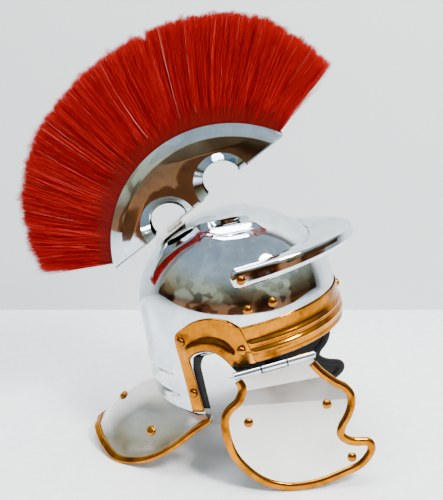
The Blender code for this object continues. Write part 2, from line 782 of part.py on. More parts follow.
# Plume section from the backing outward: share of the reach beyond the box, half thickness share,
# and the front and rear ends of the fan in degrees
plume_stations = (
    {"share": -0.105, "thick": 0.57, "front": 30.6, "rear": 149.4},
    {"share": 0.004, "thick": 0.57, "front": 27.6, "rear": 152.2},
    {"share": 0.10, "thick": 0.75, "front": 26.6, "rear": 152.0},
    {"share": 0.75, "thick": 1.00, "front": 24.6, "rear": 149.6},
    {"share": 1.00, "thick": 0.45, "front": 24.2, "rear": 148.4},
)
# Reach of the bristles as share of the longest, from front to rear
plume_rim = (0.77, 0.87, 0.97, 1.00, 1.00, 0.99, 0.975, 0.97, 0.97, 0.98, 0.955, 0.91, 0.83, 0.73)


def rim_share(position):
    place = position * (len(plume_rim) - 1)
    index = min(int(place), len(plume_rim) - 2)
    return plume_rim[index] + (plume_rim[index + 1] - plume_rim[index]) * (place - index)


def add_plume():
    """Fan of bristle locks, fused to a backing that sits in the crest box's slot."""
    base = crest_radius()
    centre = Vector((0.5 * crest_chord, 0, crest_rise - crest_radius()))
    columns = 2 * lock_count
    sections = []
    for column in range(columns + 1):
        position = column / columns
        ridge = column % 2
        ring = []
        for side in (-1, 1):
            for station in plume_stations if side < 0 else reversed(plume_stations):
                share = station["share"]
                reach = plume_reach * share * (rim_share(position) if share > 0.5 else 1.0)
                thick = plume_half_thickness * station["thick"]
                if share > 0.05:
                    thick -= 0.5 * lock_depth * (1 - ridge)
                if share == 1.0:
                    reach -= lock_depth * (1 - ridge)
                angle = math.radians(station["front"] + (station["rear"] - station["front"]) * position)
                radius = base + reach
                ring.append(centre + Vector((radius * math.cos(angle), side * thick, radius * math.sin(angle))))
        sections.append(ring)
    add_sweep("plume", sections, bristle, crest)


def lowest_height(names):
    graph = bpy.context.evaluated_depsgraph_get()
    heights = []
    for name in names:
        evaluated = bpy.data.objects[name].evaluated_get(graph)
        mesh = evaluated.to_mesh()
        heights += [(evaluated.matrix_world @ vertex.co).z for vertex in mesh.vertices]
        evaluated.to_mesh_clear()
    return min(heights)


def box_of_parts():
    graph = bpy.context.evaluated_depsgraph_get()
    corners = []
    for obj in parts.objects:
        if obj.type == "MESH":
            evaluated = obj.evaluated_get(graph)
            mesh = evaluated.to_mesh()
            corners += [evaluated.matrix_world @ vertex.co for vertex in mesh.vertices]
            evaluated.to_mesh_clear()
    low = Vector(min(corner[axis] for corner in corners) for axis in range(3))
    high = Vector(max(corner[axis] for corner in corners) for axis in range(3))
    return low, high


def stand_on_floor():
    """Lean back until the neck guard reaches the floor that the cheek guards stand on, then centre."""
    steep, level = math.radians(40), 0.0
    for _ in range(24):
        pitch = 0.5 * (steep + level)
        pose.rotation_euler = (0, -pitch, 0)
        bpy.context.view_layer.update()
        back = lowest_height(["neck_guard_piping"])
        front = lowest_height(["cheek_piping_right"])
        steep, level = (pitch, level) if back < front else (steep, pitch)
    low, high = box_of_parts()
    pose.location -= Vector((0.5 * (low.x + high.x), 0.5 * (low.y + high.y), low.z))
    bpy.context.view_layer.update()


clear_scene()
parts = bpy.data.collections.new("roman_helmet")
cutters = bpy.data.collections.new("cutters")
bpy.context.scene.collection.children.link(parts)
bpy.context.scene.collection.children.link(cutters)

steel = make_material("polished_steel", (0.78, 0.79, 0.80), 1.0, 0.12)
brass = make_material("brass", (0.83, 0.55, 0.17), 1.0, 0.25)
bristle = make_material("red_bristle", (0.60, 0.01, 0.01), 0.0, 0.7)

pose = add_empty("helmet_pose")
crest = add_empty("crest_frame", (crest_rear_x, 0, crest_rear_z), (0, -crest_tilt, 0), pose)

add_bowl()
add_neck_guard()
add_brow_band()
add_visor()
add_ear_guard("ear_guard_right", -1)
add_ear_guard("ear_guard_left", 1)
add_bowl_rivets()
add_trim_rivets()
for cheek_label, cheek_side in (("right", -1), ("left", 1)):
    add_cheek(cheek_label, cheek_side)
add_crest_box()
add_bracket()
add_plume()
stand_on_floor()
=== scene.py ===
import json
import math

import bmesh
import bpy
import numpy as np
from mathutils import Matrix, Vector


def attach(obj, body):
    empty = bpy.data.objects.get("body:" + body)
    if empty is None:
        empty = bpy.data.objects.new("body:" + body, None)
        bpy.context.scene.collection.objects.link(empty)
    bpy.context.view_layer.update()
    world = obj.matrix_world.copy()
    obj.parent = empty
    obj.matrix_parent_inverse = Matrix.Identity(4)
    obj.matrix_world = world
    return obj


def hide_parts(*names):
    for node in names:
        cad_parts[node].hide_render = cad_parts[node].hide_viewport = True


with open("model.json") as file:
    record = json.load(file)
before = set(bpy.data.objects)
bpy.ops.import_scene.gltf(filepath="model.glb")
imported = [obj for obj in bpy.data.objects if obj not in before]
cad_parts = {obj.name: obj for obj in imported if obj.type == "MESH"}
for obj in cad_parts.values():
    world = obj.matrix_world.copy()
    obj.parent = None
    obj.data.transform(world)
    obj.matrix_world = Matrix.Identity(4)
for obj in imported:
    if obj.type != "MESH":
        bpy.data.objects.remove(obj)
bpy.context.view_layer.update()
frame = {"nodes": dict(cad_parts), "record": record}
print("frame loaded")


# Colour and node helpers

def linearColour(code):
    parts = [int(code[i:i + 2], 16) / 255 for i in (1, 3, 5)]
    return (*[v / 12.92 if v <= 0.04045 else ((v + 0.055) / 1.055) ** 2.4 for v in parts], 1.0)


def addNode(tree, kind, links=(), **settings):
    node = tree.nodes.new("ShaderNode" + kind)
    for name, value in settings.items():
        if name in node.inputs:
            node.inputs[name].default_value = value
        else:
            setattr(node, name, value)
    for source, target in links:
        tree.links.new(source, node.inputs[target])
    return node


def newMaterial(name, **values):
    material = bpy.data.materials.new(name)
    material.use_nodes = True
    shader = material.node_tree.nodes["Principled BSDF"]
    for key, value in values.items():
        shader.inputs[key].default_value = value
    return material, material.node_tree, shader


def addPattern(tree, scale, kind="TexNoise", output="Fac", **settings):
    place = addNode(tree, "TexCoord")
    pattern = addNode(tree, kind, [(place.outputs["Object"], "Vector")], Scale=scale, **settings)
    return pattern.outputs[output]


def addRamp(tree, source, stops):  # each stop is a place and a hex colour, or a number for a grey
    ramp = addNode(tree, "ValToRGB", [(source, "Fac")])
    elements = ramp.color_ramp.elements
    tints = [(place, linearColour(tint) if isinstance(tint, str) else (tint, tint, tint, 1.0))
             for place, tint in stops]
    elements[0].position, elements[0].color = tints[0]
    elements[1].position, elements[1].color = tints[-1]
    for place, tint in tints[1:-1]:
        elements.new(place).color = tint
    return ramp.outputs["Color"]


def multiplied(tree, factor, first, second):
    mixed = addNode(tree, "Mix", data_type="RGBA", blend_type="MULTIPLY")
    for index, source in ((0, factor), (6, first), (7, second)):
        if isinstance(source, float):
            mixed.inputs[index].default_value = source
        else:
            tree.links.new(source, mixed.inputs[index])
    return mixed.outputs[2]


def addColour(tree, shader, colour):
    tree.links.new(colour, shader.inputs["Base Color"])


def addGloss(tree, shader, source, span, rough):  # the ends of the pattern's span become the rough pair
    gloss = addNode(tree, "MapRange", [(source, "Value")],
                    **{"From Min": span[0], "From Max": span[1], "To Min": rough[0], "To Max": rough[1]})
    tree.links.new(gloss.outputs["Result"], shader.inputs["Roughness"])


def addBump(tree, shader, source, strength, distance):
    bump = addNode(tree, "Bump", [(source, "Height")], Strength=strength, Distance=distance)
    tree.links.new(bump.outputs["Normal"], shader.inputs["Normal"])


# Materials: each tint is a ramp, and each rough pair is what the pattern's low and high ends give

steelLook = {
    "tint": ((0.3, "#B9C2CA"), (0.62, "#DFE5EA")), "hazeMm": 30.0, "speckMm": 9.0,
    "rough": (0.02, 0.1), "dentMm": 26.0, "dentDepth": 0.00045,
}
satinLook = {
    "tint": ((0.28, "#DAD5D0"), (0.6, "#F6F3EE")), "cloudMm": 45.0, "rough": (0.16, 0.3),
    "speckMm": 5.0, "speck": ((0.035, 0.25), (0.07, 1.0)), "speckShare": 0.55,
    "brushed": (60, 900, 900), "lineDepth": 0.0001,
}
brassLook = {
    "tint": ((0.27, "#5C2802"), (0.44, "#9C5C02"), (0.66, "#C47802")), "patinaMm": 22.0,
    "rough": (0.24, 0.07), "wearMm": 2.5, "wearDepth": 0.00012,
}
paintLook = {
    "tint": ((0.35, "#030303"), (0.75, "#0B0B0C")), "cloud": 90.0,
    "shine": {"Roughness": 0.55, "Specular IOR Level": 0.25}, "peel": 400.0, "peelDepth": 0.0002,
}
bristleLook = {
    # the top tint stop, #E08078, is a pale colour for painted highlights on a few bristles
    "tint": ((0.0, "#720000"), (0.4, "#A20000"), (0.9, "#C60300"), (1.0, "#E08078")),
    # along darkens each bristle towards its root as painted shade, the shadow deep in the brush
    "along": ((0.0, 0.45), (0.3, 0.9), (1.0, 1.0)),
    "shine": {"Roughness": 0.5, "Specular IOR Level": 0.12},
}


def makeChromedSteel():  # plated steel, buffed on a wheel: mirror gloss with faint haze and soft dents
    material, tree, shader = newMaterial("chromed_steel_buffed", Metallic=1.0)
    haze = addPattern(tree, 1000 / steelLook["hazeMm"], Detail=5.0, Roughness=0.6)
    addColour(tree, shader, addRamp(tree, haze, steelLook["tint"]))
    speck = addPattern(tree, 1000 / steelLook["speckMm"], Detail=8.0, Roughness=0.7)
    addGloss(tree, shader, speck, (0.35, 0.75), steelLook["rough"])
    dents = addPattern(tree, 1000 / steelLook["dentMm"], Detail=1.0)
    addBump(tree, shader, dents, 0.5, steelLook["dentDepth"])
    return material


def makeSatinSteel():  # the same sheet, only brushed: pale soft reflections with a few specks
    material, tree, shader = newMaterial("steel_sheet_satin", Metallic=1.0)
    cloud = addPattern(tree, 1000 / satinLook["cloudMm"], Detail=4.0)
    speck = addPattern(tree, 1000 / satinLook["speckMm"], "TexVoronoi", "Distance")
    addColour(tree, shader, multiplied(
        tree, satinLook["speckShare"],
        addRamp(tree, cloud, satinLook["tint"]), addRamp(tree, speck, satinLook["speck"])))
    addGloss(tree, shader, cloud, (0.3, 0.7), satinLook["rough"])
    place = addNode(tree, "TexCoord")
    brushed = addNode(tree, "Mapping", [(place.outputs["Object"], "Vector")], Scale=satinLook["brushed"])
    lines = addNode(tree, "TexNoise", [(brushed.outputs["Vector"], "Vector")], Scale=2.0, Detail=3.0)
    addBump(tree, shader, lines.outputs["Fac"], 0.15, satinLook["lineDepth"])
    return material


def makeAgedBrass():  # polished brass sheet gone brown in its hollows
    material, tree, shader = newMaterial("brass_sheet_aged", Metallic=1.0)
    cloud = addPattern(tree, 1000 / brassLook["patinaMm"], Detail=6.0, Roughness=0.62)
    addColour(tree, shader, addRamp(tree, cloud, brassLook["tint"]))
    addGloss(tree, shader, cloud, (0.3, 0.7), brassLook["rough"])
    wear = addPattern(tree, 1000 / brassLook["wearMm"], Detail=4.0)
    addBump(tree, shader, wear, 0.25, brassLook["wearDepth"])
    return material


def makeBlackPaint():  # brushed-on gloss paint inside the shell: near black with faint orange peel
    material, tree, shader = newMaterial("black_paint_brushed", Metallic=0.0, IOR=1.5, **paintLook["shine"])
    cloud = addPattern(tree, paintLook["cloud"], Detail=5.0)
    addColour(tree, shader, addRamp(tree, cloud, paintLook["tint"]))
    peel = addPattern(tree, paintLook["peel"])
    addBump(tree, shader, peel, 0.2, paintLook["peelDepth"])
    return material


def makeBristle():  # dyed stiff bristle, with painted shade darkening it towards the root and painted highlights on a few pale bristles
    material, tree, shader = newMaterial("dyed_bristle_painted_shade_and_highlights", Metallic=0.0, IOR=1.5, **bristleLook["shine"])
    strand = addNode(tree, "UVMap", uv_map="strand")
    split = addNode(tree, "SeparateXYZ", [(strand.outputs["UV"], "Vector")])
    addColour(tree, shader, multiplied(
        tree, 1.0, addRamp(tree, split.outputs["X"], bristleLook["tint"]),
        addRamp(tree, split.outputs["Y"], bristleLook["along"])))
    return material


chrome, satin, brass, paint, bristle = (
    makeChromedSteel(), makeSatinSteel(), makeAgedBrass(), makeBlackPaint(), makeBristle())
print("materials made")

# The helmet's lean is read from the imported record: the head seat lies at the crown's inside
helmet = {"halfLength": 0.116, "halfWidth": 0.098, "rise": 0.102, "wall": 0.0015, "gap": 0.0003}
seat = frame["record"]["mounts"][0]
down = Vector(seat["axis"]).normalized()
lean = math.atan2(down.x, -down.z)
origin = Vector(seat["pos_m"]) + down * (helmet["rise"] - helmet["wall"])
pose = Matrix.Translation(origin) @ Matrix.Rotation(-lean, 4, "Y")


# Shape helpers

def addObject(name, data):
    piece = bpy.data.objects.new(name, data)
    bpy.context.scene.collection.objects.link(piece)
    return piece


def toMesh(name, points, faces, materials, body, matrix=pose, nodes=(), smooth=35, faceSlots=None):
    mesh = bpy.data.meshes.new(name)
    mesh.from_pydata([tuple(matrix @ Vector(p)) for p in points], [], faces)
    for material in materials:
        mesh.materials.append(material)
    if faceSlots is not None:
        mesh.polygons.foreach_set("material_index", faceSlots)
    shape = bmesh.new()
    shape.from_mesh(mesh)
    bmesh.ops.recalc_face_normals(shape, faces=shape.faces)
    shape.to_mesh(mesh)
    shape.free()
    mesh.shade_smooth()
    mesh.set_sharp_from_angle(angle=math.radians(smooth))
    piece = addObject(name, mesh)
    if body:
        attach(piece, body)
    if nodes:
        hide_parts(*nodes)
    return piece


def gridFaces(rows, columns, closed=False):
    last = columns if closed else columns - 1
    return [
        (r * columns + c, r * columns + (c + 1) % columns,
         (r + 1) * columns + (c + 1) % columns, (r + 1) * columns + c)
        for r in range(rows - 1) for c in range(last)
    ]


def sweep(sections):
    rows, columns = len(sections), len(sections[0])
    points = [p for section in sections for p in section]
    faces = gridFaces(rows, columns, closed=True)
    faces.append(tuple(range(columns)))
    faces.append(tuple(range((rows - 1) * columns, rows * columns)))
    return points, faces


def smoothStep(value):
    value = min(max(value, 0.0), 1.0)
    return value * value * (3 - 2 * value)


def smoothPath(points, steps):
    padded = [2 * points[0] - points[1], *points, 2 * points[-1] - points[-2]]
    path = []
    for before, start, end, after in zip(padded, padded[1:], padded[2:], padded[3:]):
        for step in range(steps):
            t = step / steps
            path.append(0.5 * (2 * start + (end - before) * t
                               + (2 * before - 5 * start + 4 * end - after) * t ** 2
                               + (3 * start - before - 3 * end + after) * t ** 3))
    path.append(points[-1])
    return path


def circle(radius, sides):
    turns = [2 * math.pi * k / sides for k in range(sides)]
    return [(radius * math.cos(turn), radius * math.sin(turn)) for turn in turns]


def cutWith(piece, cutter, solver="EXACT"):
    step = piece.modifiers.new(cutter.name, "BOOLEAN")
    step.operation, step.solver, step.object = "DIFFERENCE", solver, cutter


def applyModifiers(piece, helpers=()):
    graph = bpy.context.evaluated_depsgraph_get()
    mesh = bpy.data.meshes.new_from_object(piece.evaluated_get(graph))
    piece.modifiers.clear()
    piece.data = mesh
    for helper in helpers:
        bpy.data.objects.remove(helper, do_unlink=True)


# Bowl: smooth skull with embossed brow ridges, nape ribs and black paint inside
bowlShape = {
    "frontDrop": 0.047, "napeDrop": 0.084, "earDrop": 0.106, "rimBlend": 0.18,
    "napeFlare": 0.0055, "napeStart": math.radians(117),
    "ribHeight": 0.0022, "ribWidth": 0.0075, "ribDrops": (0.044, 0.065),
    "ribHalfSweep": math.radians(50), "ribFade": math.radians(8),
    "ridgeHeight": 0.0026, "ridgeWidth": 0.0042, "ridgeSteps": 12, "ridgesAbove": 0.5,
    "columns": 168, "domeRows": 34, "lowerRows": 44, "sharp": 50,
}
browRidges = (
    ((-0.03, 0.03), (0.005, 0.034), (0.04, 0.028)),
    ((-0.028, 0.04), (0.008, 0.046), (0.047, 0.038)),
    ((-0.024, 0.049), (0.006, 0.06), (0.038, 0.057)),
)
ridgePaths = [np.array([tuple(p) for p in smoothPath([Vector(q) for q in ridge], bowlShape["ridgeSteps"])])
              for ridge in browRidges]
# the opening's outline seen from the side, just inside the ear guard's edge
earOpening = (
    (-0.058, -0.0345), (-0.053, -0.031), (-0.044, -0.029), (-0.035, -0.0305), (-0.028, -0.0352),
    (-0.022, -0.0426), (-0.0182, -0.049), (-0.0182, -0.1484), (-0.0605, -0.1484), (-0.0618, -0.049),
)


def rimDrop(around):
    back = (math.pi - abs(around)) / (math.pi - bowlShape["napeStart"])
    if back <= 1.0:
        return bowlShape["napeDrop"] + (bowlShape["earDrop"] - bowlShape["napeDrop"]) * back
    front = smoothStep((back - 1.0) / bowlShape["rimBlend"])
    return bowlShape["earDrop"] + (bowlShape["frontDrop"] - bowlShape["earDrop"]) * front


def bowlSection(around, height):
    share, flare = 1.0, 0.0
    if height > 0:
        share = math.sqrt(max(1 - (height / helmet["rise"]) ** 2, 0.0))
    elif abs(around) >= math.pi / 2:
        flare = bowlShape["napeFlare"] * -height / bowlShape["napeDrop"]
    return helmet["halfLength"] * share + flare, helmet["halfWidth"] * share


def bowlPoint(around, height, side, lift=0.0):
    long, wide = bowlSection(around, height)
    x, y = long * math.cos(around), side * wide * math.sin(around)
    return Vector((x, y, height)) + bowlNormal(around, height, side) * lift


def bowlNormal(around, height, side):
    long, wide = bowlSection(around, height)
    rise = height / helmet["rise"] ** 2 if height > 0 else 0.0
    x, y = long * math.cos(around), wide * math.sin(around)
    return Vector((x / helmet["halfLength"] ** 2, side * y / helmet["halfWidth"] ** 2, rise)).normalized()


def ridgeLift(x, y):
    place = np.array((x, abs(y)))
    lift = 0.0
    for path in ridgePaths:
        gap = np.sqrt(((path - place) ** 2).sum(axis=1))
        nearest = gap.argmin()
        ends = min(nearest, len(path) - 1 - nearest) / 4
        bulge = math.exp(-((gap[nearest] / bowlShape["ridgeWidth"]) ** 2))
        lift = max(lift, smoothStep(0.25 + ends) * bowlShape["ridgeHeight"] * bulge)
    return lift


def ribLift(around, drop):
    fade = smoothStep((bowlShape["ribHalfSweep"] - (math.pi - abs(around))) / bowlShape["ribFade"])
    return sum(bowlShape["ribHeight"] * fade * math.exp(-(((drop - rib) / (0.5 * bowlShape["ribWidth"])) ** 2))
               for rib in bowlShape["ribDrops"])


def makeBowl():
    columns, domeRows, lowerRows = bowlShape["columns"], bowlShape["domeRows"], bowlShape["lowerRows"]
    outer, inner = [], []
    for row in range(1, domeRows + lowerRows + 1):
        for column in range(columns):
            angle = math.pi * (2 * column / columns - 1)
            side = -1 if angle < 0 else 1
            if row <= domeRows:
                height = helmet["rise"] * math.cos(math.pi / 2 * row / domeRows)
            else:
                height = -rimDrop(angle) * ((row - domeRows) / lowerRows)
            base = bowlPoint(abs(angle), height, side)
            normal = bowlNormal(abs(angle), height, side)
            lift = 0.0
            if row > domeRows:
                lift = ribLift(angle, -height * bowlShape["napeDrop"] / rimDrop(angle))
            elif height > bowlShape["ridgesAbove"] * helmet["rise"]:
                lift = ridgeLift(base.x, base.y)
            outer.append(base + normal * lift)
            inner.append(base + normal * (lift - helmet["wall"]))
    rows, size = domeRows + lowerRows, len(outer)
    crown, rim = 2 * size, size - columns
    points = outer + inner + [Vector((0, 0, helmet["rise"])), Vector((0, 0, helmet["rise"] - helmet["wall"]))]
    skin = gridFaces(rows, columns, closed=True)
    after = [(c, (c + 1) % columns) for c in range(columns)]
    faces = skin + [(crown, c, d) for c, d in after]
    outside = len(faces)
    faces += [tuple(size + i for i in reversed(face)) for face in skin]
    faces += [(crown + 1, size + d, size + c) for c, d in after]
    faces += [(rim + c, rim + d, size + rim + d, size + rim + c) for c, d in after]
    slots = [0] * outside + [1] * (len(faces) - outside)
    bowl = toMesh("bowl_skin", points, faces, [chrome, paint], "helmet", nodes=["bowl"], faceSlots=slots)
    reach = 2 * helmet["halfWidth"]
    sections = [[Vector((x, side * reach, z)) for x, z in earOpening] for side in (-1, 1)]
    cutter = toMesh("ear_cutter", *sweep(sections), [paint], None)
    cutWith(bowl, cutter)
    applyModifiers(bowl, [cutter])
    bowl.data.set_sharp_from_angle(angle=math.radians(bowlShape["sharp"]))


makeBowl()
print("bowl made")

# Neck guard with its folded brass edging
neckShape = {
    "plate": 0.0016, "reach": 0.0865, "halfWidth": 0.101, "droop": 0.0435, "swell": 0.0065, "steps": 7,
    "across": (0, 0.08, 0.18, 0.3, 0.42, 0.55, 0.67, 0.78, 0.88, 0.95, 1.0), "swellFull": (0.35, 0.7),
}
edging = {
    "width": 0.0075, "wall": 0.0014, "gap": 0.0009, "turnSteps": 10,
    "back": ((1.0, 0.0, 0.0), (1.0, 0.0004, 0.55), (0.8, 0.0, 0.85), (0.45, 0.0, 1.0)),  # width, inset, wall
}
neckEdge = (  # back, out and down as shares, from the rear centre to a corner
    (1.0, 0.0, 0.99), (0.995, 0.15, 0.93), (0.89, 0.4, 1.01), (0.7, 0.615, 1.18), (0.405, 0.75, 1.16),
    (0.095, 0.86, 0.95), (-0.23, 0.95, 0.58), (-0.54, 1.0, 0.17), (-0.755, 0.98, 0.0),
)


def neckLines():
    rear = helmet["halfLength"] + bowlShape["napeFlare"]
    spread = bowlShape["earDrop"] - bowlShape["napeDrop"]
    half = [Vector((-(rear + neckShape["reach"] * back), neckShape["halfWidth"] * out,
                    -(bowlShape["napeDrop"] + neckShape["droop"] * fall + spread * out)))
            for back, out, fall in neckEdge]
    edge = smoothPath(half, neckShape["steps"])
    seam = []
    for step in range(len(edge)):
        around = math.pi - (math.pi - bowlShape["napeStart"]) * step / (len(edge) - 1)
        under = bowlPoint(around, -rimDrop(around), 1, lift=-2 * helmet["wall"])
        seam.append(under - Vector((0, 0, helmet["gap"])))
    flip = Vector((1, -1, 1))
    return [[p * flip for p in reversed(line[1:])] + line for line in (seam, edge)]


def edgingSections(path, outward, normals, plate):
    half = 0.5 * plate + edging["gap"]
    wall, width = edging["wall"], edging["width"]
    outer, nose = half + wall, wall + helmet["gap"]
    back = [(inset - run * width, half + share * wall) for run, inset, share in edging["back"]]
    steps = edging["turnSteps"]
    turn = [(nose - outer + outer * math.cos(a), outer * math.sin(a))
            for a in [math.pi / 2 * (1 - 2 * k / steps) for k in range(steps + 1)]]
    front = [(o, -n) for o, n in reversed(back)]
    profile = back + turn + front + [(helmet["gap"], -half), (helmet["gap"], half)]
    return [[p + out * o + normal * n for o, n in profile] for p, out, normal in zip(path, outward, normals)]


def makeNeckGuard():
    seam, edge = neckLines()
    outward = [(end - start).normalized() for start, end in zip(seam, edge)]
    normals, sections = [], []
    full, falls = neckShape["swellFull"]
    thickness = neckShape["plate"]
    for index, (start, end, out) in enumerate(zip(seam, edge, outward)):
        along = edge[min(index + 1, len(edge) - 1)] - edge[max(index - 1, 0)]
        normal = along.cross(out).normalized()
        normal = -normal if normal.z < 0 else normal
        normals.append(normal)
        fold = end - out * (edging["width"] + helmet["gap"])
        swell = neckShape["swell"] * (1 - abs(2 * index / (len(seam) - 1) - 1))
        top = []
        for share in neckShape["across"]:
            lift = smoothStep(share / full) if share < full else 1 - smoothStep((share - falls) / (1 - falls))
            top.append(start.lerp(fold, share) + normal * swell * lift)
        top.append(end)
        sections.append(top + [p - normal * thickness for p in reversed(top)])
    guard = toMesh("neck_guard_plate", *sweep(sections), [satin], "helmet", nodes=["neck_guard"])
    middle = [p - normal * 0.5 * thickness for p, normal in zip(edge, normals)]
    lip = toMesh("neck_guard_edging", *sweep(edgingSections(middle, outward, normals, thickness)),
                 [brass], "helmet", nodes=["neck_guard_piping"], smooth=50)


makeNeckGuard()
print("neck guard made")


# Thin sheets: a grid of outer points, thickened inwards

def makeSheet(name, rows, thickness, material, nodes, smooth=40, even=True):
    points = [p for row in rows for p in row]
    faces = gridFaces(len(rows), len(rows[0]))
    sheet = toMesh(name, points, faces, [material], "helmet", nodes=nodes, smooth=smooth)
    middle = sheet.data.polygons[len(faces) // 2]
    if middle.normal.dot(Vector(middle.center) - origin + Vector((0, 0, helmet["rise"]))) < 0:
        sheet.data.flip_normals()
    solid = sheet.modifiers.new("thickness", "SOLIDIFY")
    solid.thickness, solid.offset, solid.use_even_offset = thickness, -1.0, even
    applyModifiers(sheet)


# Brow band: thin brass sheet with two rolled beads, which die out under the ear guard's front leg
band = {
    "top": 0.0075, "height": 0.042, "wall": 0.0012, "bead": 0.0024, "stations": 150,
    "end": (94.0, 4.5), "beadEnd": (90.6, 4.4), "beadFade": 2.2,  # degrees at the top, and less at the foot
}
bandProfile = (  # down share, bead share
    (0.0, 0.0), (0.012, 0.18), (0.03, 0.2), (0.18, 0.0), (0.34, 0.0), (0.385, 0.12), (0.42, 0.55), (0.455, 0.85),
    (0.49, 0.9), (0.525, 0.7), (0.56, 0.22), (0.59, 0.08), (0.62, 0.25), (0.655, 0.8), (0.69, 1.1), (0.72, 1.1),
    (0.755, 0.8), (0.79, 0.25), (0.82, 0.02), (0.9, 0.05), (0.975, 0.25), (0.99, 0.2), (1.0, 0.0),
)


def makeBrowBand():
    rows = []
    for fall, bead in bandProfile:
        height = -(band["top"] + band["height"] * fall)
        end, beadEnd = [math.radians(top - less * fall) for top, less in (band["end"], band["beadEnd"])]
        line = []
        for step in range(band["stations"] + 1):
            around = end * (1 - 2 * step / band["stations"])
            raised = bead * smoothStep((beadEnd - abs(around)) / math.radians(band["beadFade"]))
            lift = helmet["gap"] + band["wall"] + band["bead"] * raised
            line.append(bowlPoint(abs(around), height, 1 if around < 0 else -1, lift))
        rows.append(line)
    makeSheet("brow_band_sheet", rows, band["wall"], brass, ["brow_band"])


# Lining: a black strip inside the ear opening's rear edge, bent forward with it at the top
lining = {
    "front": 116.6, "rear": 124.0, "top": 0.0335, "foot": 0.0985, "gap": 0.0004, "thickness": 0.001,
    "bend": math.radians(4.0), "bendSteps": 6, "steps": 24, "stripes": 8,
}


def makeEarLining(label, side):
    stripes = lining["stripes"]
    rows = []
    for step in range(lining["steps"] + 1):
        height = -(lining["top"] + (lining["foot"] - lining["top"]) * step / lining["steps"])
        bend = lining["bend"] * max(0.0, 1 - step / lining["bendSteps"]) ** 2
        line = []
        for k in range(stripes + 1):
            angle = math.radians(lining["front"] + (lining["rear"] - lining["front"]) * k / stripes)
            line.append(bowlPoint(angle - bend * (1 - k / stripes), height, side,
                                  -(helmet["wall"] + lining["gap"])))
        rows.append(line)
    makeSheet("ear_lining_" + label, rows, lining["thickness"], paint, [])


makeBrowBand()
makeEarLining("right", -1)
makeEarLining("left", 1)
print("brow band made")

# Visor: crescent shelf with a turned-down strip
visor = {
    "plate": 0.0015, "rootShare": 0.62, "reach": 0.147, "halfWidth": 0.096, "level": 0.053,
    "stripSide": 0.019, "stripFront": 0.012, "power": 1.8, "end": 0.0035, "stations": 160,
    "roundRadius": 0.008, "lastShare": 0.993, "spread": 0.985, "bendRun": 0.0016, "bendPull": 0.56,
}


def visorOutline(share):
    turn = share * math.pi / 2
    power = 2 / visor["power"]
    x = visor["reach"] * math.cos(turn) ** power
    y = visor["halfWidth"] * abs(math.sin(turn)) ** power
    return Vector((max(x, visor["end"]), math.copysign(y, share), visor["level"]))


def makeVisor():
    rows = [[] for _ in range(9)]
    stations, radius, run = visor["stations"], visor["roundRadius"], visor["bendRun"]
    pull = visor["bendPull"]
    lift = helmet["gap"] + visor["rootShare"] * visor["plate"]
    for step in range(stations + 1):
        share = visor["lastShare"] * math.sin(math.pi * (step / stations - 0.5))
        crease = visorOutline(visor["spread"] * share)
        around = math.atan2(abs(crease.y) / helmet["halfWidth"], crease.x / helmet["halfLength"])
        side = 1 if share > 0 else -1
        past = max(0.0, 1 - (crease.x - visor["end"]) / radius)
        corner = radius * (1 - math.sqrt(max(1 - past * past, 0.0)))
        crease.z -= corner
        root = bowlPoint(around, visor["level"] - corner, side, lift=lift)
        strip = visor["stripFront"] + (visor["stripSide"] - visor["stripFront"]) * share ** 2
        strip -= 2 * corner
        foot = crease - Vector((0, 0, strip))
        limit = bowlPoint(around, foot.z, side, lift=helmet["gap"] + visor["plate"])
        if limit.xy.length > foot.xy.length:
            foot = limit
        inner = root.lerp(crease, 1 - min(run / max((crease - root).length, run + 0.0001), 0.9))
        below = crease.lerp(foot, run / strip)
        bend = (inner + below) * (0.5 - 0.5 * pull) + crease * pull
        across = (root, root.lerp(inner, 0.35), root.lerp(inner, 0.7), inner, bend, below,
                  below.lerp(foot, 0.35), below.lerp(foot, 0.7), foot)
        for row, point in zip(rows, across):
            row.append(point)
    makeSheet("visor_plate", rows, visor["plate"], chrome, ["visor"], smooth=60,
              even=False)


makeVisor()
print("visor made")

# Ear guards: brass arches with a raised collar
ear = {
    "wall": 0.0012, "collar": 0.0035, "steps": 7, "legBelow": 0.002, "leg": (85.6, 98.6, 0.2),
    "overBand": 98.0, "overBlend": 4.0, "overBead": 0.1,
}
earRows = (  # outer angle, outer height, inner angle, inner height, collar
    (127.5, -0.955, 120.3, -0.955, 0.0), (127.6, -0.72, 120.9, -0.72, 0.0), (128.2, -0.42, 121.8, -0.46, 0.0),
    (128.9, -0.18, 122.0, -0.365, 0.4), (127.8, -0.07, 119.8, -0.315, 1.0), (122.5, 0.0, 117.0, -0.28, 1.0),
    (113.7, 0.072, 112.0, -0.262, 1.0), (103.9, 0.085, 107.5, -0.275, 1.0), (96.1, 0.033, 104.0, -0.32, 1.0),
    (92.0, -0.03, 101.0, -0.39, 1.0), (89.8, -0.075, 98.8, -0.465, 0.8),
)
earAcross = (  # share from the outer edge, collar share
    (0.0, 0.0), (0.02, 0.06), (0.05, 0.06), (0.3, 0.0), (0.5, 0.0), (0.57, 0.15), (0.63, 0.6), (0.7, 0.96),
    (0.78, 1.05), (0.86, 1.0), (0.92, 0.8), (0.97, 0.45), (1.0, 0.15),
)


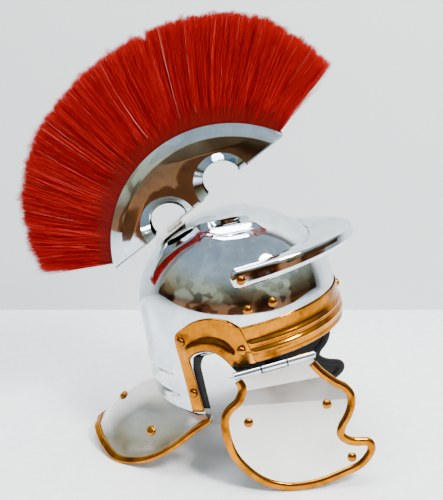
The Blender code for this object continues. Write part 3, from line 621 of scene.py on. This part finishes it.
def makeEarGuard(label, side):
    outer, inner = [smoothPath([Vector((r[i], r[i + 1], r[4])) for r in earRows], ear["steps"])
                    for i in (0, 2)]
    legEnd = -(bowlShape["frontDrop"] + ear["legBelow"]) / bowlShape["earDrop"]
    legOuter, legInner, legCollar = ear["leg"]
    outer.append(Vector((legOuter, legEnd, legCollar)))
    inner.append(Vector((legInner, legEnd, legCollar)))
    bandLift = band["wall"] + ear["overBead"] * band["bead"] + helmet["gap"]
    rows = []
    for share, rise in earAcross:
        line = []
        for start, end in zip(outer, inner):
            angle, height, collar = start.lerp(end, share)
            over = smoothStep((ear["overBand"] - angle) / ear["overBlend"]) * bandLift
            lift = helmet["gap"] + ear["wall"] + over + ear["collar"] * rise * max(collar, 0.0)
            line.append(bowlPoint(math.radians(angle), height * bowlShape["earDrop"], side, lift))
        rows.append(line)
    makeSheet("ear_guard_sheet_" + label, rows, ear["wall"], brass, ["ear_guard_" + label])


makeEarGuard("right", -1)
makeEarGuard("left", 1)
print("ear guards made")

# Cheek guards: each rides on its own hinge
cheek = {
    "plate": 0.0016, "length": 0.157, "drop": 0.1437, "hingeLength": 0.091, "hingeRadius": 0.004,
    "midX": 0.0265, "side": 0.098, "belowBand": 0.0085, "toeIn": math.radians(8), "splay": math.radians(9),
    "steps": 7, "knuckleGap": 0.0011, "topShare": 0.47, "notchGap": 0.0006, "notchDrop": 0.0048,
    "pinRadius": 0.0016, "pinSides": 20, "pinEnds": (-0.55, 0.515), "sharp": math.radians(1.2),
    "folds": ((0.043, 0.22, 0.03), (0.022, 0.09, -0.065)),  # drop, slope, tilt
}
cheekEdge = (
    (-0.282, 0.051), (-0.27, 0.104), (-0.313, 0.177), (-0.389, 0.224), (-0.439, 0.296), (-0.456, 0.431),
    (-0.437, 0.595), (-0.367, 0.749), (-0.273, 0.868), (-0.159, 0.944), (-0.052, 0.981), (0.113, 1.0),
    (0.287, 0.981), (0.424, 0.953), (0.518, 0.881), (0.544, 0.812), (0.517, 0.758), (0.434, 0.73),
    (0.382, 0.7), (0.355, 0.658), (0.375, 0.607), (0.436, 0.534), (0.476, 0.454), (0.487, 0.376),
    (0.454, 0.297), (0.389, 0.231), (0.317, 0.133), (0.278, 0.056),
)


def turnedBar(radius, start, end, sides=28, chamfer=0.0004):
    stops = ((start, radius - chamfer), (start + chamfer, radius), (end - chamfer, radius), (end, radius - chamfer))
    return sweep([[Vector((x, y, z)) for y, z in circle(r, sides)] for x, r in stops])


def joined(parts):
    points, faces = [], []
    for some, more in parts:
        faces += [tuple(i + len(points) for i in face) for face in more]
        points += some
    return points, faces


def foldPlate(plate, swing, side, drop, slope, tilt):
    shape = bmesh.new()
    shape.from_mesh(plate.data)
    line = Vector((-slope, 0, -1)).normalized()
    start = Vector((0, 0, -drop))
    turn, back = swing.to_3x3(), swing.inverted()
    everything = list(shape.verts) + list(shape.edges) + list(shape.faces)
    bmesh.ops.bisect_plane(shape, geom=everything, plane_co=swing @ start, plane_no=turn @ line, dist=1e-6)
    for vert in shape.verts:
        above = -(back @ vert.co - start).dot(line)
        if above > 0:
            vert.co -= turn @ Vector((0, side * above * tilt, 0))
    shape.to_mesh(plate.data)
    shape.free()


def makeCheekPlate(label, side, swing, edge):
    half, top = 0.5 * cheek["plate"], cheek["topShare"] * cheek["hingeLength"]
    # the plate stops short of the middle knuckle, and its two ends wrap up to the outer ones
    notch, deep = cheek["hingeLength"] / 6 + cheek["notchGap"], -cheek["notchDrop"]
    outline = edge + [Vector((x, 0, z)) for x, z in (
        (top, 0), (notch, 0), (notch, deep), (-notch, deep), (-notch, 0), (-top, 0))]
    count = len(outline)
    points = [p + Vector((0, way * side * half, 0)) for way in (1, -1) for p in outline]
    faces = [tuple(range(count)), tuple(range(2 * count - 1, count - 1, -1))]
    faces += [(k, (k + 1) % count, count + (k + 1) % count, count + k) for k in range(count)]
    plate = toMesh("cheek_plate_" + label, points, faces, [satin, paint], "cheek_" + label, swing,
                   nodes=["cheek_guard_" + label], faceSlots=[0, 1] + [0] * count)
    for drop, slope, tilt in cheek["folds"]:
        foldPlate(plate, swing, side, drop, slope, tilt)
    plate.data.shade_smooth()
    plate.data.set_sharp_from_angle(angle=cheek["sharp"])


def makeCheekEdging(label, side, swing, edge):
    outward = []
    for index in range(len(edge)):
        along = edge[min(index + 1, len(edge) - 1)] - edge[max(index - 1, 0)]
        outward.append(Vector((along.z, 0, -along.x)).normalized())
    if outward[2].dot(edge[2] - Vector((0, 0, -0.5 * cheek["drop"]))) < 0:
        outward = [-way for way in outward]
    across = [Vector((0, side, 0))] * len(edge)
    points, faces = sweep(edgingSections(edge, outward, across, cheek["plate"]))
    # the back half of the edging takes the same black as the plate's inner face
    slots = [int(sum(points[i].y for i in face) / len(face) * side < -0.05 * cheek["plate"]) for face in faces]
    lip = toMesh("cheek_edging_" + label, points, faces, [brass, paint], "cheek_" + label, swing,
                 nodes=["cheek_piping_" + label], smooth=50, faceSlots=slots)


def makeCheek(label, side):
    hingeZ = -(band["top"] + band["height"] + cheek["belowBand"])
    axis = (pose @ Matrix.Translation((cheek["midX"], side * cheek["side"], hingeZ))
            @ Matrix.Rotation(-side * cheek["toeIn"], 4, "Z"))
    swing = axis @ Matrix.Rotation(side * cheek["splay"], 4, "X")
    edge = smoothPath([Vector((a * cheek["length"], 0, -d * cheek["drop"])) for a, d in cheekEdge],
                      cheek["steps"])
    makeCheekPlate(label, side, swing, edge)
    radius, length, gap = cheek["hingeRadius"], cheek["hingeLength"], cheek["knuckleGap"]
    third = length / 3
    knuckles = joined([turnedBar(radius, s * third, e * third) for s, e in ((-1.5, -0.5), (0.5, 1.5))])
    barrel = toMesh("cheek_knuckles_" + label, *knuckles, [chrome], "cheek_" + label, swing)
    makeCheekEdging(label, side, swing, edge)
    leaf = toMesh("hinge_knuckle_" + label, *turnedBar(radius, gap - 0.5 * third, 0.5 * third - gap),
                  [chrome], "helmet", axis)
    start, end = [share * length for share in cheek["pinEnds"]]
    pin = toMesh("hinge_rod_" + label, *turnedBar(cheek["pinRadius"], start, end, cheek["pinSides"]),
                 [chrome], "helmet", axis, nodes=["hinge_pin_" + label])


makeCheek("right", -1)
makeCheek("left", 1)
print("cheek guards made")

# Rivets: low domes with a fine flat rim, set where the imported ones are
rivetShape = {
    "sides": 28, "fuller": 1.1,
    "rings": ((1.0, 0.0), (1.0, 0.12), (0.96, 0.34), (0.86, 0.6), (0.68, 0.8), (0.42, 0.94)),
}


def rivetSeat(node):
    mesh = frame["nodes"][node].data
    groups = []
    for face in mesh.polygons:
        for group in groups:
            if group[0].dot(face.normal) > 0.999:
                group[1] += face.area
                group[2].update(face.vertices)
                break
        else:
            groups.append([face.normal.copy(), face.area, set(face.vertices)])
    base = max(groups, key=lambda group: group[1])
    normal = -base[0]
    ring = [mesh.vertices[i].co for i in base[2]]
    centre = sum(ring, Vector()) / len(ring)
    radius = max((p - centre).length for p in ring)
    height = max((v.co - centre).dot(normal) for v in mesh.vertices)
    return centre, normal, radius * rivetShape["fuller"], height * rivetShape["fuller"]


def makeRivet(node):
    centre, normal, radius, height = rivetSeat(node)
    turn = normal.to_track_quat("Z", "Y").to_matrix().to_4x4()
    sides, rings = rivetShape["sides"], rivetShape["rings"]
    points = [Vector((x, y, height * z)) for r, z in rings for x, y in circle(radius * r, sides)]
    faces = gridFaces(len(rings), sides, closed=True) + [tuple(range(sides))]
    base, top = (len(rings) - 1) * sides, len(points)
    points.append(Vector((0, 0, height)))
    faces += [(base + k, base + (k + 1) % sides, top) for k in range(sides)]
    body = "cheek_" + node.rsplit("_", 1)[1] if node.startswith("cheek") else "helmet"
    rivet = toMesh(node + "_head", points, faces, [brass], body, Matrix.Translation(centre) @ turn,
                   nodes=[node], smooth=60)


for node in sorted(frame["nodes"]):
    if "rivet" in node:
        makeRivet(node)
print("rivets made")

# Crest box: sheet box of arc form with two funnel cut-outs
crestShape = {
    "chord": 0.248, "rise": 0.0766, "halfThickness": 0.02, "topHalfThickness": 0.013, "shoulder": 0.0135,
    "shoulderSoft": 0.0006, "wall": 0.0015, "slotHalf": 0.0115, "arcSteps": 72, "sharp": 20,
    "rearX": -0.1303, "rearZ": 0.0631, "tilt": math.radians(25.5),
    "cutRadius": 0.033, "flange": 0.01, "flangeDepth": 0.009, "cutU": (0.085, 0.1625), "cutV": 0.002,
    "cutSides": 72, "rollRadius": 0.0013, "rollSides": 16,
    "chordRuns": ((0.0045, 0.0505), (0.1195, 0.128), (0.197, 0.2435)),
}
crest = (pose @ Matrix.Translation((crestShape["rearX"], 0, crestShape["rearZ"]))
         @ Matrix.Rotation(-crestShape["tilt"], 4, "Y"))
arcRadius = (0.25 * crestShape["chord"] ** 2 + crestShape["rise"] ** 2) / (2 * crestShape["rise"])
arcCentre = Vector((0.5 * crestShape["chord"], 0, crestShape["rise"] - arcRadius))


def crestProfile(inset, y, chordInset=0.0):
    radius = arcRadius - inset
    low = math.asin((chordInset - arcCentre.z) / radius)
    steps = crestShape["arcSteps"]
    return [arcCentre + Vector((radius * math.cos(a), y, radius * math.sin(a)))
            for a in [low + (math.pi - 2 * low) * k / steps for k in range(steps + 1)]]


def turnedCutter(name, u, rings):
    sections = [[Vector((u, y, crestShape["cutV"])) + Vector((x, 0, z)) for x, z in circle(r, crestShape["cutSides"])]
                for r, y in rings]
    return toMesh(name, *sweep(sections), [chrome], None, crest)


def makeCrestBox():
    wall, depth, shoulder = crestShape["wall"], crestShape["halfThickness"], crestShape["shoulder"]
    soft = crestShape["shoulderSoft"]
    stations = [(shoulder + soft, -depth), (shoulder - soft, 0.5 * soft - depth),
                (0.0, -crestShape["topHalfThickness"])]
    stations += [(inset, -y) for inset, y in reversed(stations)]
    box = toMesh("crest_box_sheet", *sweep([crestProfile(i, y) for i, y in stations]), [chrome, paint], "helmet",
                 crest, nodes=["crest_box"])
    face, slot = depth - wall, crestShape["slotHalf"]
    inner = [(shoulder + wall, -face), (wall, -slot), (-wall, -slot), (-wall, slot), (wall, slot),
             (shoulder + wall, face)]
    hollow = toMesh("crest_hollow", *sweep([crestProfile(i, y, wall) for i, y in inner]), [paint], None, crest)
    wide, flange, throat = crestShape["cutRadius"], crestShape["flange"], depth - crestShape["flangeDepth"]
    waist, slope = wide - flange, flange / crestShape["flangeDepth"]
    helpers = [hollow]
    for u in crestShape["cutU"]:
        for side in (-1, 1):
            rings = ((wide + wall * slope, depth + wall), (wide + wall, depth), (waist + wall, throat),
                     (0.4 * waist, throat))
            sleeve = turnedCutter("sleeve", u, [(r, side * y) for r, y in rings])
            cutWith(hollow, sleeve, "MANIFOLD")
            helpers.append(sleeve)
    cutWith(box, hollow, "MANIFOLD")
    reach = depth + 2 * wall
    mouth, neck = waist + slope * (reach - throat), waist - slope * wall
    for u in crestShape["cutU"]:
        cutter = turnedCutter("cutout", u, (
            (mouth, reach), (neck, throat - wall), (neck, wall - throat), (mouth, -reach)))
        cutWith(box, cutter, "MANIFOLD")
        helpers.append(cutter)
    applyModifiers(box, helpers)
    box.data.shade_smooth()
    box.data.set_sharp_from_angle(angle=math.radians(crestShape["sharp"]))


def makeRolledEdges():
    radius, edges = crestShape["rollRadius"], []
    for start, end in crestShape["chordRuns"]:
        for side in (-1, 1):
            points, faces = turnedBar(radius, start, end, crestShape["rollSides"])
            shift = Vector((0, side * (crestShape["halfThickness"] - 0.3 * radius), radius))
            edges.append(([p + shift for p in points], faces))
    roll = toMesh("crest_box_rolled_edges", *joined(edges), [chrome], "helmet", crest)


makeCrestBox()
makeRolledEdges()
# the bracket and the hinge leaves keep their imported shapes
for name, finish in (("crest_bracket", satin), ("hinge_leaf_right", paint), ("hinge_leaf_left", paint)):
    node = frame["nodes"][name]
    node.data.materials.clear()
    node.data.materials.append(finish)
print("crest box made")

# Plume: a core that stands in for the imported heart of the brush, dark with painted shade, and loose bristles over
# it
plumeShape = {
    "reach": 0.112, "halfThickness": 0.019, "root": (29.0, 150.8), "tip": (23.8, 149.4),  # degrees, front and rear
    "rim": (0.77, 0.87, 0.97, 1.0, 1.0, 0.99, 0.975, 0.97, 0.97, 0.98, 0.955, 0.91, 0.83, 0.73),
}
coreShape = {
    # strand puts the whole core at the dark root end of the bristle colours, as painted shade
    "columns": 60, "inset": 1.2, "strand": 0.05,
    "stations": ((-0.105, 0.57), (0.004, 0.57), (0.12, 0.6), (0.55, 0.6), (0.84, 0.3)),  # reach, thickness
}
bristleShape = {
    "rows": 3, "perRow": 30000, "width": 0.0004, "seed": 7, "tufts": 210, "paintedGlints": 0.012, "sunk": 0.004,
    "rootSpread": 0.55, "tipSpread": 0.8, "tipScatter": 0.25, "tipLimit": 1.1, "gather": 0.45,
    "longest": 1.045, "shorter": 0.13, "tuftLength": 0.0021, "trim": 0.0012,
    "strays": 0.05, "strayLength": (0.55, 1.0), "strayLean": 2.0,
    "notch": 0.4, "notchWidth": 0.006, "notchDepth": 0.05,
    "lean": 0.55, "tuftLean": 0.35, "clumpLean": 0.3, "bend": 0.35, "pastEnd": 1.0,
    "levels": (0.0, 0.35, 0.7, 1.0), "widths": (1.0, 1.0, 0.85, 0.3),
}


def rimShare(position):
    rim = plumeShape["rim"]
    return np.interp(position * (len(rim) - 1), np.arange(len(rim)), rim)


def makePlumeCore():
    root, tip, columns = plumeShape["root"], plumeShape["tip"], coreShape["columns"]
    sections = []
    for column in range(columns + 1):
        position = column / columns
        ring = []
        for side in (-1, 1):
            for share, thick in coreShape["stations"][::-side]:
                reach = plumeShape["reach"] * share * (float(rimShare(position)) if share > 0.5 else 1.0)
                front, rear = [base + (end - base) * max(share, 0) + way * coreShape["inset"]
                               for base, end, way in zip(root, tip, (1, -1))]
                angle = math.radians(front + (rear - front) * position)
                ring.append(arcCentre + Vector(((arcRadius + reach) * math.cos(angle),
                                                side * plumeShape["halfThickness"] * thick,
                                                (arcRadius + reach) * math.sin(angle))))
        sections.append(ring)
    core = toMesh("plume_core", *sweep(sections), [bristle], "helmet", crest, nodes=["plume"])
    strand = core.data.uv_layers.new(name="strand")
    strand.data.foreach_set("uv", np.full(2 * len(core.data.loops), coreShape["strand"], np.float32))


def ribbonMesh(name, points):  # points: bristle, level, edge, xyz
    count = len(points)
    turn = np.array(crest)
    flat = points.reshape(-1, 3) @ turn[:3, :3].T + turn[:3, 3]
    quad = np.array([[0, 1, 3, 2], [2, 3, 5, 4], [4, 5, 7, 6]])
    quads = (np.arange(count)[:, None, None] * 8 + quad[None]).reshape(-1, 4)
    mesh = bpy.data.meshes.new(name)
    mesh.vertices.add(len(flat))
    mesh.vertices.foreach_set("co", flat.astype(np.float32).ravel())
    mesh.loops.add(quads.size)
    mesh.loops.foreach_set("vertex_index", quads.astype(np.int32).ravel())
    mesh.polygons.add(len(quads))
    mesh.polygons.foreach_set("loop_start", (np.arange(len(quads)) * 4).astype(np.int32))
    mesh.update(calc_edges=True)
    mesh.validate()
    return mesh, quad.ravel() // 2


def makeBristles(index):
    look = bristleShape
    rng = np.random.default_rng(look["seed"] + index)
    count, tufts = look["perRow"], look["tufts"]
    (rootFront, rootRear), (tipFront, tipRear) = plumeShape["root"], plumeShape["tip"]
    position = rng.random(count)
    spread = rng.uniform(-1, 1, count)
    lean = rng.normal(0, 1, count)
    rootY = spread * plumeShape["halfThickness"] * look["rootSpread"]
    tipY = spread * look["tipSpread"] + look["tipScatter"] * rng.normal(0, 1, count)
    tipY = np.clip(tipY, -look["tipLimit"], look["tipLimit"]) * plumeShape["halfThickness"]
    tuft = np.floor(position * tufts).astype(int)
    tuftLength = rng.normal(0, 1, tufts)[tuft]
    tuftLean = rng.normal(0, 1, tufts)[tuft]
    clump = 0.35 * np.sin(position * 2 * np.pi * 37 + 2 * index) + 0.25 * np.sin(position * 2 * np.pi * 83 + index)
    length = plumeShape["reach"] * rimShare(position) * (
        look["longest"] - look["shorter"] * rng.random(count) ** 1.8)
    length = length + look["tuftLength"] * tuftLength - look["trim"]
    stray = rng.random(count) < look["strays"]
    length = np.where(stray, length * rng.uniform(*look["strayLength"], count), length)
    notch = np.exp(-(((position - look["notch"]) / look["notchWidth"]) ** 2))
    length = length * (1 - look["notchDepth"] * notch)
    angleRoot = rootFront + (rootRear - rootFront) * position
    gathered = position + look["gather"] * ((tuft + 0.5) / tufts - position)
    angleTip = tipFront + (tipRear - tipFront) * gathered
    angleTip = (angleTip + look["lean"] * lean + look["tuftLean"] * tuftLean + look["clumpLean"] * clump
                + np.where(stray, rng.normal(0, look["strayLean"], count), 0))
    angleTip = np.clip(angleTip, tipFront - look["pastEnd"], tipRear + look["pastEnd"])
    bend = rng.normal(0, look["bend"], count)
    facing = rng.uniform(0, 2 * np.pi, count)
    points = np.zeros((count, len(look["levels"]), 2, 3), np.float32)
    for level, (share, width) in enumerate(zip(look["levels"], look["widths"])):
        angle = np.radians(angleRoot + (angleTip - angleRoot) * share + bend * share * (1 - share) * 4)
        radius = arcRadius - look["sunk"] + (length + look["sunk"]) * share
        y = rootY + (tipY - rootY) * share ** 1.3
        centre = np.stack((arcCentre.x + radius * np.cos(angle), y, arcCentre.z + radius * np.sin(angle)), -1)
        across = np.stack((-np.sin(angle) * np.cos(facing), np.sin(facing), np.cos(angle) * np.cos(facing)), -1)
        wide = 0.5 * look["width"] * width
        points[:, level, 0] = centre - across * wide
        points[:, level, 1] = centre + across * wide
    mesh, corners = ribbonMesh("bristles_%d" % index, points)
    # a few bristles take that pale top stop as painted highlights
    tone = np.clip(0.9 * rng.beta(2.2, 2.0, count) + 0.1 * clump, 0, 0.9)
    tone = np.where(rng.random(count) < look["paintedGlints"], 1.0, tone)
    u = np.repeat(tone, len(corners))
    # v runs from root to tip, so the along ramp paints shade at the root
    v = np.tile(np.array(look["levels"])[corners], count)
    strand = mesh.uv_layers.new(name="strand")
    strand.data.foreach_set("uv", np.stack((u, v), -1).astype(np.float32).ravel())
    mesh.materials.append(bristle)
    mesh.shade_smooth()
    piece = addObject("bristles_%d" % index, mesh)
    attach(piece, "helmet")


makePlumeCore()
for index in range(bristleShape["rows"]):
    makeBristles(index)
print("plume made")

# Stage: pale rough floor and wall, soft studio light, and the camera
stageLook = {
    "floor": ((0.3, "#F1F3F5"), (0.7, "#FBFCFD")), "wall": "#DBDFE1", "size": 6.0, "wallHeight": 4.0,
    "wallY": 0.445, "edgeY": -0.95, "key": 74.0, "top": 52.0, "sky": 1.9, "behind": "#DDE1E3",
}
roomLook = {
    "rise": ((0.0, "#8A8178"), (0.3, "#8C6E56"), (0.4, "#A8704A"), (0.46, "#8E6A4C"), (0.51, "#6E5C4C"),
             (0.56, "#8E9684"), (0.66, "#A3B09C"), (0.8, "#9DADB8"), (1.0, "#8799A8")),
    "large": ((0.0, "#2A1C12"), (0.22, "#5E4634"), (0.38, "#B08A66"), (0.55, "#E4DCD0"), (1.0, "#FFFFFF")),
    "small": ((0.0, "#40302A"), (0.3, "#A07C60"), (0.5, "#F2EEE8"), (1.0, "#FFFFFF")),
    "where": ((0.1, 0.6), (0.4, 1.0), (0.58, 0.95), (0.78, 0.25)),
    "largeScale": 2.4, "smallScale": 7.5, "blurScale": 5.0, "blur": 0.1, "overlay": 0.8,
}
cameraLook = {"place": (-0.0175, -0.8183, 0.2812), "pitch": 15.7, "sensor": 36.0, "focal": 727, "height": 500}


def makeStage():
    material, tree, shader = newMaterial("painted_concrete", Roughness=0.75)
    grain = addPattern(tree, 70.0, Detail=8.0)
    addColour(tree, shader, addRamp(tree, grain, stageLook["floor"]))
    addBump(tree, shader, grain, 0.3, 0.002)
    wallPaint, tree, shader = newMaterial("painted_wall", Roughness=0.85)
    shader.inputs["Base Color"].default_value = linearColour(stageLook["wall"])
    # seen from behind, the wall is clear
    side = addNode(tree, "NewGeometry")
    clear = addNode(tree, "BsdfTransparent")
    oneSided = addNode(tree, "MixShader", [(side.outputs["Backfacing"], 0), (shader.outputs["BSDF"], 1),
                                                     (clear.outputs["BSDF"], 2)])
    tree.links.new(oneSided.outputs["Shader"], tree.nodes["Material Output"].inputs["Surface"])
    size, edge, back, top = [stageLook[key] for key in ("size", "edgeY", "wallY", "wallHeight")]
    floor = toMesh("floor", [(-size, edge, 0), (size, edge, 0), (size, size, 0), (-size, size, 0)],
                   [(0, 1, 2, 3)], [material], None, Matrix.Identity(4))
    wall = toMesh("wall", [(-size, back, 0), (size, back, 0), (size, back, top), (-size, back, top)],
                  [(0, 1, 2, 3)], [wallPaint], None, Matrix.Identity(4))
    if wall.data.polygons[0].normal.y > 0:
        wall.data.flip_normals()


def addLight(name, place, target, size, power, colour):
    light = bpy.data.lights.new(name, "AREA")
    light.shape, light.size, light.energy, light.color = "DISK", size, power, colour
    lamp = addObject(name, light)
    lamp.location = place
    lamp.rotation_euler = (Vector(target) - Vector(place)).to_track_quat("-Z", "Y").to_euler()


def makeRoom():
    world = bpy.data.worlds.new("room")
    bpy.context.scene.world = world
    world.use_nodes = True
    tree = world.node_tree
    tree.nodes.clear()
    place = addNode(tree, "TexCoord")
    split = addNode(tree, "SeparateXYZ", [(place.outputs["Generated"], "Vector")])
    height = addNode(tree, "MapRange", [(split.outputs["Z"], "Value")],
                     **{"From Min": -1.0, "From Max": 1.0})
    rise = addRamp(tree, height.outputs["Result"], roomLook["rise"])
    soften = addNode(tree, "TexNoise", [(place.outputs["Generated"], "Vector")],
                     Scale=roomLook["blurScale"], Detail=4.0)
    shift = addNode(tree, "Mix", data_type="VECTOR", blend_type="MIX")
    shift.inputs[0].default_value = roomLook["blur"]
    tree.links.new(place.outputs["Generated"], shift.inputs[4])
    tree.links.new(soften.outputs["Color"], shift.inputs[5])
    layers = []
    for size in ("large", "small"):
        cells = addNode(tree, "TexVoronoi", [(shift.outputs[1], "Vector")], feature="SMOOTH_F1",
                        Scale=roomLook[size + "Scale"], Smoothness=0.25, Randomness=0.95)
        tint = addNode(tree, "SeparateColor", [(cells.outputs["Color"], "Color")])
        layers.append(addRamp(tree, tint.outputs["Red"], roomLook[size]))
    things = multiplied(tree, roomLook["overlay"], *layers)
    # things stand round the room at eye height and fade out towards the ceiling
    where = addRamp(tree, height.outputs["Result"], roomLook["where"])
    sky = addNode(tree, "Background", [(multiplied(tree, where, rise, things), "Color")],
                  Strength=stageLook["sky"])
    # seen straight on, the room is a plain pale backdrop; only the metal mirrors its furniture
    plain = addNode(tree, "Background", Color=linearColour(stageLook["behind"]), Strength=1.0)
    path = addNode(tree, "LightPath")
    seen = addNode(tree, "MixShader", [(path.outputs["Is Camera Ray"], 0), (sky.outputs["Background"], 1),
                                                 (plain.outputs["Background"], 2)])
    out = addNode(tree, "OutputWorld", [(seen.outputs["Shader"], "Surface")])
    out.is_active_output = True


def makeCamera():
    lens = bpy.data.cameras.new("camera")
    camera = addObject("camera", lens)
    camera.location = origin + Vector(cameraLook["place"])
    camera.rotation_euler = (math.radians(90 - cameraLook["pitch"]), 0, 0)
    lens.sensor_width = cameraLook["sensor"]
    lens.lens = cameraLook["sensor"] * cameraLook["focal"] / cameraLook["height"]
    lens.clip_start, lens.clip_end = 0.01, 50.0
    bpy.context.scene.camera = camera


makeStage()
makeRoom()
addLight("key", (0.95, -1.0, 1.75), (0, 0, 0.2), 0.5, stageLook["key"], (1.0, 0.985, 0.96))
addLight("top", (-0.1, -0.1, 1.9), (0, 0, 0.2), 1.1, stageLook["top"], (0.97, 0.99, 1.0))
makeCamera()
print("stage made")
